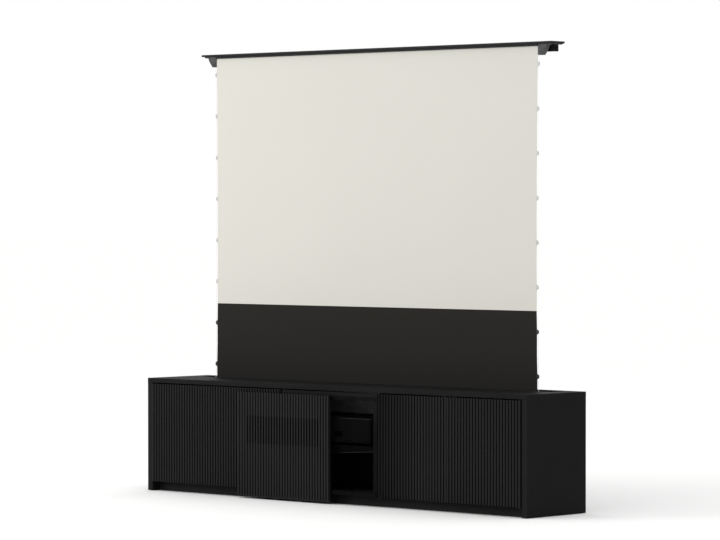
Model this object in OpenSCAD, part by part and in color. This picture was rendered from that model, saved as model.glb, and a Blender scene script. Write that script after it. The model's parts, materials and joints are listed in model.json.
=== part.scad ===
// Media cabinet with a projector drawer and a screen that rises out of its top.
// Origin: on the floor, in the middle of the whole object. X along the cabinet, front towards -Y, Z up.

/* [Cabinet] */
// Width over the side panels
cab_w = 2620; // [2600:10:2700]
// Depth of the side panels
cab_d = 445; // [443:1:460]
// Height of the top face above the floor
cab_h = 595; // [593:1:600]
// Thickness of the side panels
side_t = 35; // [30:1:38]
// Thickness of the top panel
top_t = 24; // [23:1:26]
// Thickness of the bottom panel, partitions and shelves
board_t = 18; // [16:1:19]
// Height of the bottom panel's underside above the floor
bottom_z = 50; // [45:1:55]
// Setback of the plinth behind the slat faces
plinth_setback = 56; // [40:1:70]
// Radius of the cable outlets in the back panel
outlet_r = 30; // [20:1:35]

/* [Fluted fronts] */
// Distance from one slat to the next
pitch = 19.1; // [18.9:0.1:19.1]
// Width of the groove between two slats
groove_w = 6.5; // [5:0.5:8]
// Depth of the grooves
groove_d = 6.5; // [4:0.5:8]
// Rounding of the slat edges
slat_r = 1.4; // [0.5:0.1:2]
// Thickness of the fluted fronts and doors, slats included
front_t = 20; // [18:1:20]
// Distance that the slat faces stand in front of the side panels
front_proud = 6; // [4:1:8]
// Number of slats on the fixed left front
left_slats = 50; // [48:1:50]
// Number of slats on the inner door
inner_slats = 24; // [23:1:24]
// Number of slats on the outer door
outer_slats = 25; // [24:1:25]
// Number of slats on the sliding vent panel
vent_slats = 34; // [33:1:34]
// Thickness of the vent panel
vent_t = 19; // [18:1:22]
// Gap between the slat faces and the back of the vent panel
vent_gap = 8; // [8:1:10]
// Distance that the vent panel stands open, left of its closed place
vent_open = 300.8; // [0:0.1:320]

/* [Projector drawer] */
// Width of the face frame's stiles
stile_w = 26; // [24:1:30]
// Height of the platform that the projector stands on
platform_z = 300; // [294:1:302]
// Width of the projector
proj_w = 520; // [480:10:540]
// Depth of the projector
proj_d = 330; // [320:1:335]
// Height of the projector without its feet
proj_h = 130; // [126:1:132]
// Height of the projector's feet
proj_foot_h = 12; // [12:1:16]

/* [Screen and lift] */
// Width of the cloth
screen_w = 2222; // [2200:1:2224]
// Height of the lid's top face when the screen is up
raised_z = 2305; // [2250:1:2320]
// Height of the line between the white cloth and the black drop
drop_z = 987; // [900:1:1050]
// Width of the lid
lid_w = 2412; // [2404:1:2414]
// Depth of the lid, front to back
lid_d = 107; // [105:1:108]
// Thickness of the lid
lid_t = 10; // [8:1:10]
// Height of the channel under the back of the lid
beam_h = 38; // [36:1:38]
// Length of each arm between its pivots
arm_l = 905; // [900:1:915]
// Width of the arms
arm_w = 30; // [26:1:30]
// Thickness of the arms
arm_t = 18; // [16:1:18]
// Number of tension tabs on each side of the cloth
tabs = 8; // [4:1:10]

/* [Hidden] */
$fn = 64;

// Clearances
fit = 0.05;         // radial clearance of a pin in its bore
open_fit = 0.6;     // radial clearance of the one free pivot of the lift
face_gap = 0.5;     // between pieces that slide past each other

// Depth positions, front to back
depth = cab_d + front_proud + vent_gap + vent_t;
y_back = depth / 2;
y_side = y_back - cab_d;
y_crest = y_side - front_proud;
y_vent = y_crest - vent_gap - vent_t;
carcass_setback = 4;
y_carcass = y_crest + front_t + carcass_setback;
back_t = 12;
back_inset = 2;
y_back_panel = y_back - back_inset - back_t;

// Width positions, left to right
function front_w(slats) = slats * pitch - groove_w;
x_in = cab_w / 2 - side_t;
fixed_gap = 2;
swing_gap = 5;
door_gap = 3;
left_x0 = -x_in + fixed_gap;
left_x1 = left_x0 + front_w(left_slats);
outer_x1 = x_in - swing_gap;
outer_x0 = outer_x1 - front_w(outer_slats);
inner_x1 = outer_x0 - door_gap;
inner_x0 = inner_x1 - front_w(inner_slats);
frame_x0 = left_x1 + swing_gap;
frame_x1 = inner_x0 - swing_gap;
bay_x = (frame_x0 + frame_x1) / 2;
bay_x0 = frame_x0 - face_gap;
bay_x1 = frame_x1 + face_gap;
door_partition_x = (inner_x1 + outer_x0 - board_t) / 2;

// Height positions
glide_h = 2;
glide_r = 8;
plinth_t = 16;
plinth_y0 = y_crest + plinth_setback;
plinth_y1 = y_back_panel - 20;
top_z = cab_h - top_t;
floor_z = bottom_z + board_t;
top_gap = 5;
front_z0 = bottom_z + 1;
front_z1 = top_z - top_gap;
shelf_z = 300;

// Door pivots
pivot_in = 9.5;
pivot_back = 10.5;
pivot_r = 2.5;
pivot_plate_t = 2.2;
pivot_bottom_t = 4;
pin_depth = 30;
inner_pivot_x = inner_x0 + pivot_in;
outer_pivot_x = outer_x1 - pivot_in;
pivot_y = y_crest + pivot_back;

// Screen, lid and housing
sheet_t = 2.5;
slot_gap = 2;
lid_y1 = y_back - 40;
lid_y0 = lid_y1 - lid_d;
cloth_t = 1;
cloth_y = lid_y0 + 18.4;
bracket_h = 56;
bracket_foot = 26;
bracket_side = [50, -25];
bracket_neck = [53, -11];
bracket_wing = 84;
bracket_front = 5;
bracket_back = 23;
bracket_inset = 2;
hem_h = 12;
hem_t = 13;
lid_under = raised_z - lid_t;
cloth_top = lid_under - hem_h;
housing_y0 = 33;
housing_y1 = 206;
housing_z = 447;
housing_x = 1214;
roller_r = 30;
roller_wall = 3;
wound_r = 32.8;
roller_y = cloth_y - cloth_t / 2 - 0.1 - wound_r;
roller_z = 495;
roller_x = screen_w / 2 + 6;
drum_r = 31;
drum_t = 10;
bracket_x = 1140;
bracket_t = 5;
motor_r = 22;
motor_x = 500;
shaft_r = 6;
cord_r = 1.2;
cord_x = screen_w / 2 + 11;
tab_w = 18;
tab_h = 27;
tab_t = 1.6;
tab_step = 218.6;
tab_top = 2196;

// Lift arms: equal lengths, so the lid rises straight up as the knees open
arm_x = 1000;
base_z = 474;
raise_a = 79;
knee_x = arm_x - arm_l * cos(raise_a);
knee_z = base_z + arm_l * sin(raise_a);
crown_z = base_z + 2 * arm_l * sin(raise_a);
lower_y = lid_y0 + 30;
layer_gap = 4;
upper_y = lower_y + arm_t + layer_gap;
pin_r = 6;
cheek_t = 3;
beam_d = 60;
beam_y0 = lid_y1 - 2 - beam_d;
beam_x = lid_w / 2 - 38;
beam_wall = 2.5;

// Drawer
frame_t = 18;
frame_top_h = 20;
frame_bottom_h = 20;
runner_h = 35;
runner_d = 13;
runner_len = 400;
runner_z = platform_z - runner_h;
runner_wall = 1.5;
tray_x0 = bay_x0 + runner_d;
tray_x1 = bay_x1 - runner_d;
tray_y0 = y_crest + frame_t;
tray_y1 = tray_y0 + 374;
tray_skirt_h = 42;
tray_rise = 19;
tray_t = 12;
gusset_t = 3;
gusset_z = 500;
gusset_d = 210;

// Projector
proj_y0 = tray_y0 + 14;
proj_y1 = proj_y0 + proj_d;
proj_z0 = platform_z + proj_foot_h;
proj_z1 = proj_z0 + proj_h;
case_r = 18;
case_t = 2.5;
base_h = 12;
proj_x0 = bay_x - proj_w / 2;
proj_x1 = bay_x + proj_w / 2;
window_w = 190;
window_d = 100;
window_y0 = 0;
lens_z = proj_z0 + 60;
engine_y0 = window_y0 + 66;
button_r = 9;
button_x = bay_x + 37;
button_z = proj_z0 + 43;
panel_w = 54;
panel_h = 30;
panel_d = 1;
fan_size = 80;
fan_t = 25;
fan_r = 37;
fan_y = -60;
fan_z = proj_z0 + base_h + fan_size / 2 + 1;
fan_xs = [proj_x0 + case_t + 1, proj_x1 - case_t - 1 - fan_t];
grille_w = 110;
grille_h = 74;
blades = 7;

// Vent panel and its slides
vent_z0 = 10;
vent_z1 = 547;
vent_x0 = bay_x - front_w(vent_slats) / 2 - vent_open;
vent_plain = 10;
vent_slot_w = 10;
vent_slot_z0 = 285;
vent_slot_z1 = 427;
vent_plain_slats = 3;
rail_h = 16;
rail_d = 13.5;
rail_wall = 1.2;
rail_low_z = 52;
rail_high_z = 529;
rail_len = front_w(vent_slats);
vent_x1 = vent_x0 + rail_len;

// Back panel and its fittings
outlets = [bay_x, 575, 1040];
outlet_z = 160;
inlet_x = -1100;
inlet_z = 150;
inlet_w = 64;
inlet_h = 30;
rocker_x = inlet_x + 20;
rocker_y = y_back - 2.5;
rocker_tilt = 8;
socket_x = inlet_x - 8;

black = [0.10, 0.10, 0.10];
dark = [0.16, 0.16, 0.17];
steel = [0.62, 0.63, 0.65];
grey = [0.38, 0.38, 0.40];
white = [0.90, 0.89, 0.86];

// ---- helpers -----------------------------------------------------------------------------------

// Cuboid from one corner to the opposite one
module block(a, b) {
    translate(a) cube(b - a);
}

// Extrusions of an outline drawn in the (Y, Z), (X, Z) or (X, Y) plane
module along_x(x0, x1) {
    translate([x0, 0, 0]) rotate([90, 0, 90]) linear_extrude(x1 - x0) children();
}

module along_y(y0, y1) {
    translate([0, y1, 0]) rotate([90, 0, 0]) linear_extrude(y1 - y0) children();
}

module along_z(z0, z1) {
    translate([0, 0, z0]) linear_extrude(z1 - z0) children();
}

module cyl_x(x0, x1, y, z, r) {
    translate([x0, y, z]) rotate([0, 90, 0]) cylinder(r = r, h = x1 - x0);
}

module cyl_y(y0, y1, x, z, r) {
    translate([x, y1, z]) rotate([90, 0, 0]) cylinder(r = r, h = y1 - y0);
}

module cyl_z(z0, z1, x, y, r) {
    translate([x, y, z0]) cylinder(r = r, h = z1 - z0);
}

// Rectangle with eased corners
module eased(a, b, c) {
    polygon([
        [a.x + c, a.y], [b.x - c, a.y], [b.x, a.y + c], [b.x, b.y - c],
        [b.x - c, b.y], [a.x + c, b.y], [a.x, b.y - c], [a.x, a.y + c]
    ]);
}

// Rectangle with round corners
module rounded(a, b, r) {
    translate([a.x + r, a.y]) square([b.x - a.x - 2 * r, b.y - a.y]);
    translate([a.x, a.y + r]) square([b.x - a.x, b.y - a.y - 2 * r]);
    for (x = [a.x + r, b.x - r], y = [a.y + r, b.y - r]) translate([x, y]) circle(r);
}

// Both sides of the object: the right-hand children and their mirror image
module both_sides() {
    children();
    mirror([1, 0, 0]) children();
}

// Outline of a fluted board: slat faces on y = 0, back on y = t
function slat_points(x) = let (w = pitch - groove_w, r = slat_r, k = r * (1 - sqrt(0.5))) [
    [x + w, groove_d], [x + w, r], [x + w - k, k], [x + w - r, 0],
    [x + r, 0], [x + k, k], [x, r], [x, groove_d]
];

module fluted(slats, t) {
    polygon(concat(
        [[0, t], [front_w(slats), t]],
        [for (i = [slats - 1:-1:0]) each slat_points(i * pitch)]
    ));
}

// The three members of a ball slide, each a channel inside the last, in the (depth, height) plane
module channel(d0, d1, h0, h1, wall) {
    difference() {
        translate([d0, h0]) square([d1 - d0, h1 - h0]);
        translate([d0 + wall, h0 + wall]) square([d1 - d0, h1 - h0 - 2 * wall]);
    }
}

module slide_outer(d, h, wall) {
    channel(0, d - 4.5, 0, h, wall);
}

module slide_middle(d, h, wall) {
    g = wall + face_gap;
    channel(g, d - 2, g, h - g, wall);
}

module slide_inner(d, h, wall) {
    g = 2 * (wall + face_gap);
    translate([d, 0]) mirror([1, 0]) channel(0, d - g, g, h - g, wall);
}

// ---- cabinet -----------------------------------------------------------------------------------

module side_panels() {
    color(black)
    both_sides()
    along_z(glide_h, top_z)
    eased([x_in, y_side], [x_in + side_t, y_back], 1);
}

module top_panel() {
    color(black)
    difference() {
        along_x(-cab_w / 2, cab_w / 2) eased([y_side, top_z], [y_back, cab_h], 1);
        block([-lid_w / 2 - slot_gap, lid_y0 - slot_gap, top_z - 1],
              [lid_w / 2 + slot_gap, lid_y1 + slot_gap, cab_h + 1]);
    }
}

module bottom_panel() {
    color(black) block([-x_in, y_carcass, bottom_z], [x_in, y_back_panel, floor_z]);
}

// Front and rear boards joined by cross rails
module plinth() {
    cross_rails = [-800, -330, 340, 790];
    color(black) {
        for (y = [plinth_y0, plinth_y1]) block([-x_in, y, glide_h], [x_in, y + plinth_t, bottom_z]);
        for (x = cross_rails) {
            block([x, plinth_y0 + plinth_t, glide_h], [x + plinth_t, plinth_y1, bottom_z]);
        }
    }
}

module glides() {
    color(grey) {
        for (x = [-600, 0, 600], y = [plinth_y0, plinth_y1]) {
            cyl_z(0, glide_h, x, y + plinth_t / 2, glide_r);
        }
        for (x = [-1, 1] * (x_in + side_t / 2), y = [y_side + 20, y_back - 20]) {
            cyl_z(0, glide_h, x, y, glide_r);
        }
    }
}

// Back with three cable outlets, air slots behind the projector and the inlet's cut-out
module back_panel() {
    air_slots = 16;
    air_step = 18;
    air_slot_w = 8;
    air_slot_z = [320, 420];
    inlet_rim = 3;
    color(dark)
    difference() {
        block([-x_in, y_back_panel, bottom_z], [x_in, y_back_panel + back_t, top_z]);
        for (x = outlets) cyl_y(y_back_panel - 1, y_back, x, outlet_z, outlet_r);
        for (i = [0:air_slots - 1]) {
            x = bay_x + (i - (air_slots - 1) / 2) * air_step;
            block([x - air_slot_w / 2, y_back_panel - 1, air_slot_z[0]],
                  [x + air_slot_w / 2, y_back, air_slot_z[1]]);
        }
        block([inlet_x - inlet_w / 2 + inlet_rim, y_back_panel - 1, inlet_z - inlet_h / 2 + inlet_rim],
              [inlet_x + inlet_w / 2 - inlet_rim, y_back, inlet_z + inlet_h / 2 - inlet_rim]);
    }
}

// Three uprights, notched at the back for the screen housing
module partitions() {
    color(black)
    for (x = [bay_x0 - board_t, bay_x1, door_partition_x]) {
        difference() {
            block([x, y_carcass, floor_z], [x + board_t, y_back_panel, top_z]);
            block([x - 1, housing_y0 - 3, housing_z - 3], [x + board_t + 1, y_back_panel + 1, top_z + 1]);
        }
    }
}

module shelves() {
    setback = 18;
    back_gap = 3;
    spans = [[bay_x1 + board_t, door_partition_x], [door_partition_x + board_t, x_in]];
    color(black)
    for (s = spans) {
        block([s[0], y_carcass + setback, shelf_z], [s[1], y_back_panel - back_gap, shelf_z + board_t]);
    }
}

// Fixed front with two battens that meet the carcass, and a notch in the corner next to the drawer
module left_front() {
    batten_w = 16;
    notch_w = 7;
    notch_h = 20;
    color(black) {
        difference() {
            translate([left_x0, y_crest, 0]) along_z(front_z0, front_z1) fluted(left_slats, front_t);
            block([left_x1 - notch_w, y_crest - 1, front_z1 - notch_h],
                  [left_x1 + 1, y_crest + front_t + 1, front_z1 + 1]);
        }
        for (x = [left_x0, left_x1 - batten_w]) {
            block([x, y_crest + front_t - 1, front_z0 + notch_h],
                  [x + batten_w, y_carcass, front_z1 - notch_h]);
        }
    }
}

// Steel plates above and below each door that carry its pivot pins
module pivot_plate(x, z0, z1, front_r, tail_y) {
    difference() {
        union() {
            cyl_z(z0, z1, x, pivot_y, front_r);
            block([x - front_r, pivot_y, z0], [x + front_r, tail_y, z1]);
        }
        cyl_z(z0 - 1, z1 + 1, x, pivot_y, pivot_r + fit);
    }
}

module pivot_plates() {
    color(steel)
    for (x = [inner_pivot_x, outer_pivot_x]) {
        pivot_plate(x, top_z - pivot_plate_t, top_z, 4.4, y_carcass);
        pivot_plate(x, bottom_z - pivot_bottom_t, bottom_z, 8, y_carcass + 30);
    }
}

// Magnetic catches under the top, one for each door
module door_catches() {
    color(grey)
    for (x = [inner_x1 - 30, outer_x0 + 30]) {
        block([x - 12, y_carcass - 2, top_z - 17], [x + 12, y_carcass + 30, top_z]);
        cyl_y(y_carcass - 3.5, y_carcass - 2, x, top_z - 10, 5);
    }
}

// Mains inlet: flange, body, socket with three blades, and a window for the rocker
module mains_inlet() {
    flange = inlet_w / 2 + 3;
    flange_h = inlet_h / 2 + 3;
    body = inlet_w / 2 - 3.5;
    body_h = inlet_h / 2 - 3.5;
    yf = y_back - back_inset;
    color(dark) {
        difference() {
            union() {
                along_y(yf, y_back)
                rounded([inlet_x - flange, inlet_z - flange_h], [inlet_x + flange, inlet_z + flange_h], 4);
                block([inlet_x - body, yf - 28, inlet_z - body_h], [inlet_x + body, yf, inlet_z + body_h]);
            }
            block([socket_x - 12.5, y_back - 18, inlet_z - 8.5],
                  [socket_x + 12.5, y_back + 1, inlet_z + 8.5]);
            block([rocker_x - 7, y_back - 12, inlet_z - 10.4],
                  [rocker_x + 7, y_back + 1, inlet_z + 10.4]);
        }
        for (p = [[-6, -2], [0, 2], [6, -2]]) {
            block([socket_x + p.x - 1, y_back - 18.5, inlet_z + p.y - 2.5],
                  [socket_x + p.x + 1, y_back - 6, inlet_z + p.y + 2.5]);
        }
        cyl_x(rocker_x - 7.5, rocker_x + 7.5, rocker_y, inlet_z, 1);
    }
}

// Rocker on its cross pin, shown pressed at the bottom
module rocker_switch() {
    color(black)
    difference() {
        translate([0, rocker_y, inlet_z]) rotate([-rocker_tilt, 0, 0])
        along_x(rocker_x - 6.6, rocker_x + 6.6)
        polygon([[-4, -8], [0.4, -9.3], [1.3, 0], [0.4, 9.3], [-4, 8], [-4.5, 0]]);
        cyl_x(rocker_x - 8, rocker_x + 8, rocker_y, inlet_z, 1 + fit);
    }
}

// Box with the lift's control electronics, on the floor of the left compartment
module control_box() {
    x0 = -1230;
    y0 = 20;
    color(grey) {
        along_z(floor_z, floor_z + 55) rounded([x0, y0], [x0 + 260, y0 + 130], 8);
        for (x = [x0 - 14, x0 + 260]) block([x, y0 + 20, floor_z], [x + 14, y0 + 110, floor_z + 3]);
    }
}

// ---- doors -------------------------------------------------------------------------------------

module door(x0, slats, pivot_x) {
    grip_w = 90;
    color(black)
    difference() {
        translate([x0, y_crest, 0]) along_z(front_z0, front_z1) fluted(slats, front_t);
        for (z = [front_z0 - 1, front_z1 - pin_depth]) {
            cyl_z(z, z + pin_depth + 1, pivot_x, pivot_y, pivot_r + fit);
        }
        // finger grip along the bottom edge, on the inside
        block([x0 + front_w(slats) / 2 - grip_w / 2, y_crest + front_t - 8, front_z0 - 1],
              [x0 + front_w(slats) / 2 + grip_w / 2, y_crest + front_t + 1, front_z0 + 14]);
    }
}

module door_pins(pivot_x) {
    color(steel) {
        cyl_z(front_z1 - pin_depth + 0.5, top_z - 0.3, pivot_x, pivot_y, pivot_r);
        cyl_z(bottom_z - pivot_bottom_t, front_z0 + pin_depth - 0.5, pivot_x, pivot_y, pivot_r);
    }
}

module inner_door() door(inner_x0, inner_slats, inner_pivot_x);
module outer_door() door(outer_x0, outer_slats, outer_pivot_x);
module inner_door_pins() door_pins(inner_pivot_x);
module outer_door_pins() door_pins(outer_pivot_x);

// ---- screen housing and roller -----------------------------------------------------------------

module screen_housing() {
    color(black) {
        block([-housing_x, housing_y0, housing_z], [housing_x, housing_y1, housing_z + sheet_t]);
        for (y = [housing_y0, housing_y1 - sheet_t]) {
            block([-housing_x, y, housing_z], [housing_x, y + sheet_t, top_z]);
        }
    }
}

// End plates of the housing, and the two brackets that carry the roller
module housing_ends() {
    z0 = housing_z + sheet_t;
    color(dark) {
        both_sides() {
            block([housing_x - 4, housing_y0 + sheet_t, z0], [housing_x, housing_y1 - sheet_t, top_z - 1]);
            block([bracket_x, roller_y - 25, z0], [bracket_x + bracket_t, roller_y + 25, roller_z + 20]);
            block([bracket_x, roller_y - 25, z0], [bracket_x + 30, roller_y + 25, z0 + 4]);
        }
        cyl_x(-bracket_x - 1, -roller_x + 22, roller_y, roller_z, shaft_r);
    }
}

// Tubular motor inside the roller: body, head and drive shaft
module tube_motor() {
    color(grey) {
        cyl_x(motor_x, roller_x + drum_t + 4, roller_y, roller_z, motor_r);
        cyl_x(roller_x + drum_t + 4, bracket_x, roller_y, roller_z, motor_r + 4);
        cyl_x(motor_x - 30, motor_x, roller_y, roller_z, shaft_r);
    }
}

// Roller tube with the cloth wound on it, an idler plug, a drive disc and a cord drum at each end
module roller() {
    inner_r = roller_r - roller_wall;
    color(dark)
    difference() {
        union() {
            cyl_x(-roller_x, roller_x, roller_y, roller_z, roller_r);
            cyl_x(-screen_w / 2, screen_w / 2, roller_y, roller_z, wound_r);
            cyl_x(-roller_x - drum_t, roller_x + drum_t, roller_y, roller_z, drum_r);
        }
        cyl_x(-roller_x + 24, motor_x - 28, roller_y, roller_z, inner_r);
        cyl_x(motor_x - 8, roller_x - 20, roller_y, roller_z, inner_r);
        cyl_x(roller_x - 21, roller_x + drum_t + 1, roller_y, roller_z, motor_r + fit);
        cyl_x(-roller_x - drum_t - 1, -roller_x + 25, roller_y, roller_z, shaft_r + fit);
        cyl_x(motor_x - 31, motor_x - 7, roller_y, roller_z, shaft_r + fit);
    }
}

// ---- lift --------------------------------------------------------------------------------------

// Bar with round ends, from the origin along x
module arm_outline() {
    translate([0, -arm_w / 2]) square([arm_l, arm_w]);
    circle(arm_w / 2);
    translate([arm_l, 0]) circle(arm_w / 2);
}

// Forks screwed to the housing floor, each with its fixed pin
module arm_bases() {
    z0 = housing_z + sheet_t;
    fronts = [lower_y - face_gap - cheek_t, lower_y + arm_t + face_gap];
    color(steel)
    both_sides() {
        for (y = fronts) {
            along_y(y, y + cheek_t) {
                translate([arm_x - 15, z0]) square([30, base_z - z0]);
                translate([arm_x, base_z]) circle(15);
            }
        }
        block([arm_x - 35, fronts[0], z0], [arm_x + 35, fronts[1] + cheek_t, z0 + 3]);
        cyl_y(fronts[0] - 2, fronts[1] + cheek_t, arm_x, base_z, pin_r);
    }
}

// Spring barrels that push the arms up, on the back of the forks
module lift_springs() {
    y0 = lower_y + arm_t + face_gap + cheek_t;
    color(grey)
    both_sides() {
        cyl_y(y0, y0 + 6, arm_x, base_z, 19);
        cyl_y(y0 + 6, y0 + 42, arm_x, base_z, 17);
    }
}

// Lower arm with the knee pin fixed in its top end
module lower_arm() {
    color(grey) {
        difference() {
            along_y(lower_y, lower_y + arm_t)
            translate([arm_x, base_z]) rotate(180 - raise_a) arm_outline();
            cyl_y(lower_y - 1, lower_y + arm_t + 1, arm_x, base_z, pin_r + fit);
        }
        cyl_y(lower_y - 2, lower_y + 1, knee_x, knee_z, 12);
        cyl_y(lower_y + 1, upper_y + arm_t + 0.5, knee_x, knee_z, pin_r);
        cyl_y(upper_y + arm_t + 0.5, upper_y + arm_t + 3, knee_x, knee_z, 11);
    }
}

// Upper arm, bored at both ends
module upper_arm(crown_clearance) {
    color(grey)
    difference() {
        along_y(upper_y, upper_y + arm_t)
        translate([knee_x, knee_z]) rotate(raise_a) arm_outline();
        cyl_y(upper_y - 1, upper_y + arm_t + 1, knee_x, knee_z, pin_r + fit);
        cyl_y(upper_y - 1, upper_y + arm_t + 1, arm_x, crown_z, pin_r + crown_clearance);
    }
}

module right_lower_arm() lower_arm();
module left_lower_arm() mirror([1, 0, 0]) lower_arm();
module right_upper_arm() upper_arm(fit);
module left_upper_arm() mirror([1, 0, 0]) upper_arm(open_fit);

// Forks inside the rear beam, each with its fixed pin
module top_pivots() {
    z1 = lid_under - beam_wall;
    fronts = [upper_y - face_gap - cheek_t, upper_y + arm_t + face_gap];
    color(steel)
    both_sides() {
        for (y = fronts) {
            along_y(y, y + cheek_t) {
                translate([arm_x - 15, crown_z]) square([30, z1 - crown_z]);
                translate([arm_x, crown_z]) circle(15);
            }
        }
        block([arm_x - 28, fronts[0], z1 - 2], [arm_x + 28, fronts[1] + cheek_t, z1]);
        cyl_y(fronts[0], fronts[1] + cheek_t, arm_x, crown_z, pin_r);
    }
}

// ---- lid ---------------------------------------------------------------------------------------

module lid_plate() {
    color(dark)
    along_x(-lid_w / 2, lid_w / 2) eased([lid_y0, lid_under], [lid_y1, raised_z], 1.2);
}

// Channel under the back of the lid, open below for the folded arms and closed at its ends
module beam_outline() {
    r = 6;
    z0 = lid_under - beam_h;
    translate([beam_y0, z0 + r]) square([beam_d, beam_h - r]);
    translate([beam_y0 + r, z0]) square([beam_d - 2 * r, r]);
    for (y = [beam_y0 + r, beam_y0 + beam_d - r]) translate([y, z0 + r]) circle(r);
}

module rear_beam() {
    end_t = 4;
    color(black)
    difference() {
        along_x(-beam_x, beam_x) beam_outline();
        block([-beam_x + end_t, beam_y0 + beam_wall, lid_under - beam_h - 1],
              [beam_x - end_t, beam_y0 + beam_d - beam_wall, lid_under - beam_wall]);
    }
}

// Bar that clamps the top edge of the cloth
module hem_bar() {
    color(dark)
    block([-screen_w / 2, cloth_y - hem_t / 2, cloth_top], [screen_w / 2, cloth_y + hem_t / 2, lid_under]);
}

// Grey brackets at the top corners of the cloth, which hold the tension cords
module end_brackets() {
    color(grey)
    both_sides()
    translate([screen_w / 2 + bracket_inset, 0, lid_under])
    along_y(cloth_y - bracket_front, cloth_y + bracket_back)
    polygon([[0, 0], [0, -bracket_h], [bracket_foot, -bracket_h], bracket_side, bracket_neck,
             [bracket_wing, -3], [bracket_wing, 0]]);
}

// ---- cloth -------------------------------------------------------------------------------------

module cloth(z0, z1) {
    block([-screen_w / 2, cloth_y - cloth_t / 2, z0], [screen_w / 2, cloth_y + cloth_t / 2, z1]);
}

module screen_cloth() {
    color(white) cloth(drop_z, cloth_top);
}

module screen_drop() {
    color(black) cloth(roller_z, drop_z);
}

module tension_cords() {
    color(grey) both_sides() cyl_z(roller_z, lid_under - bracket_h, cord_x, cloth_y, cord_r);
}

module cloth_tabs() {
    color(white)
    both_sides()
    for (i = [0:tabs - 1]) {
        z = tab_top - i * tab_step;
        along_y(cloth_y - tab_t / 2, cloth_y + tab_t / 2)
        rounded([screen_w / 2, z - tab_h / 2], [screen_w / 2 + tab_w, z + tab_h / 2], 4);
    }
}

// ---- drawer ------------------------------------------------------------------------------------

module face_frame() {
    color(black)
    difference() {
        along_z(front_z0, front_z1) eased([frame_x0, y_crest], [frame_x1, y_crest + frame_t], 1);
        block([frame_x0 + stile_w, y_crest - 1, front_z0 + frame_bottom_h],
              [frame_x1 - stile_w, y_crest + frame_t + 1, front_z1 - frame_top_h]);
    }
}

// Platform with skirts, and a steel gusset up each side that carries the face frame
module drawer_tray() {
    z0 = platform_z - tray_skirt_h;
    color(dark) {
        difference() {
            block([tray_x0, tray_y0, z0], [tray_x1, tray_y1, platform_z]);
            block([tray_x0 + tray_t, tray_y0 + tray_t, z0 - 1],
                  [tray_x1 - tray_t, tray_y1 - tray_t, platform_z - tray_t]);
            // the front skirt is deepest in the middle
            for (x = [tray_x0 + tray_t, tray_x1 - tray_t]) {
                along_y(tray_y0 - 1, tray_y0 + tray_t + 1)
                polygon([[x, z0 - 1], [bay_x, z0 - 1], [bay_x, z0], [x, z0 + tray_rise]]);
            }
        }
        for (x = [tray_x0, tray_x1 - gusset_t]) {
            along_x(x, x + gusset_t)
            polygon([
                [tray_y0, z0], [tray_y0, gusset_z], [tray_y0 + 20, gusset_z],
                [tray_y0 + gusset_d, platform_z], [tray_y0 + gusset_d, z0]
            ]);
        }
    }
}

// The two drawer slides: one set of children at each wall of the bay
module at_bay_walls() {
    y0 = y_carcass + 2;
    for (wall = [[bay_x0, 0], [bay_x1, 1]]) {
        translate([wall[0], 0, runner_z]) mirror([wall[1], 0, 0]) along_y(y0, y0 + runner_len) children();
    }
}

module runner_outers() {
    color(steel) at_bay_walls() slide_outer(runner_d, runner_h, runner_wall);
}

module runner_middles() {
    color(steel) at_bay_walls() slide_middle(runner_d, runner_h, runner_wall);
}

module runner_inners() {
    color(steel) at_bay_walls() slide_inner(runner_d, runner_h, runner_wall);
}

// ---- projector ---------------------------------------------------------------------------------

module case_outline(inset) {
    rounded([proj_x0 + inset, proj_y0 + inset], [proj_x1 - inset, proj_y1 - inset], case_r - inset);
}

module projector_base() {
    color(dark)
    difference() {
        along_z(proj_z0, proj_z0 + base_h) case_outline(0);
        along_z(proj_z0 + case_t, proj_z0 + base_h + 1) case_outline(case_t);
    }
}

module grille_opening(x0, x1) {
    block([x0, fan_y - grille_w / 2, fan_z - grille_h / 2],
          [x1, fan_y + grille_w / 2, fan_z + grille_h / 2]);
}

// Upper shell with the light's window, an opening beside each fan, and a shallow panel round the button
module projector_cover() {
    color(grey)
    difference() {
        along_z(proj_z0 + base_h, proj_z1) case_outline(0);
        along_z(proj_z0 + base_h - 1, proj_z1 - case_t) case_outline(case_t);
        block([bay_x - window_w / 2, window_y0, proj_z1 - case_t - 1],
              [bay_x + window_w / 2, window_y0 + window_d, proj_z1 + 1]);
        grille_opening(proj_x0 - 1, proj_x1 + 1);
        block([button_x - panel_w / 2, proj_y0 - 1, button_z - panel_h / 2],
              [button_x + panel_w / 2, proj_y0 + panel_d, button_z + panel_h / 2]);
        cyl_y(proj_y0 - 1, proj_y0 + case_t + 1, button_x, button_z, button_r + 0.4);
    }
}

module side_grilles() {
    slots = 7;
    slot_h = 5;
    step = 9.6;
    half = grille_w / 2 - 8;
    color(black)
    for (x = [proj_x0, proj_x1 - case_t]) {
        difference() {
            grille_opening(x, x + case_t);
            for (i = [0:slots - 1]) {
                z = fan_z + (i - (slots - 1) / 2) * step;
                block([x - 1, fan_y - half, z - slot_h / 2],
                      [x + case_t + 1, fan_y + half, z + slot_h / 2]);
            }
        }
    }
}

module lens_window() {
    color([0.3, 0.35, 0.4, 0.5])
    block([bay_x - window_w / 2, window_y0, proj_z1 - case_t],
          [bay_x + window_w / 2, window_y0 + window_d, proj_z1 - 0.5]);
}

// Curved mirror that throws the picture up and back through the window
module folding_mirror() {
    r = 140;
    color([0.8, 0.8, 0.85])
    intersection() {
        difference() {
            cyl_z(proj_z0 + 30, proj_z1 - 12, bay_x, window_y0 - 26 + r, r);
            cyl_z(proj_z0 + 29, proj_z1 - 11, bay_x, window_y0 - 26 + r, r - 4);
        }
        block([bay_x - 70, window_y0 - 40, proj_z0], [bay_x + 70, window_y0 + 20, proj_z1]);
    }
}

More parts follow.
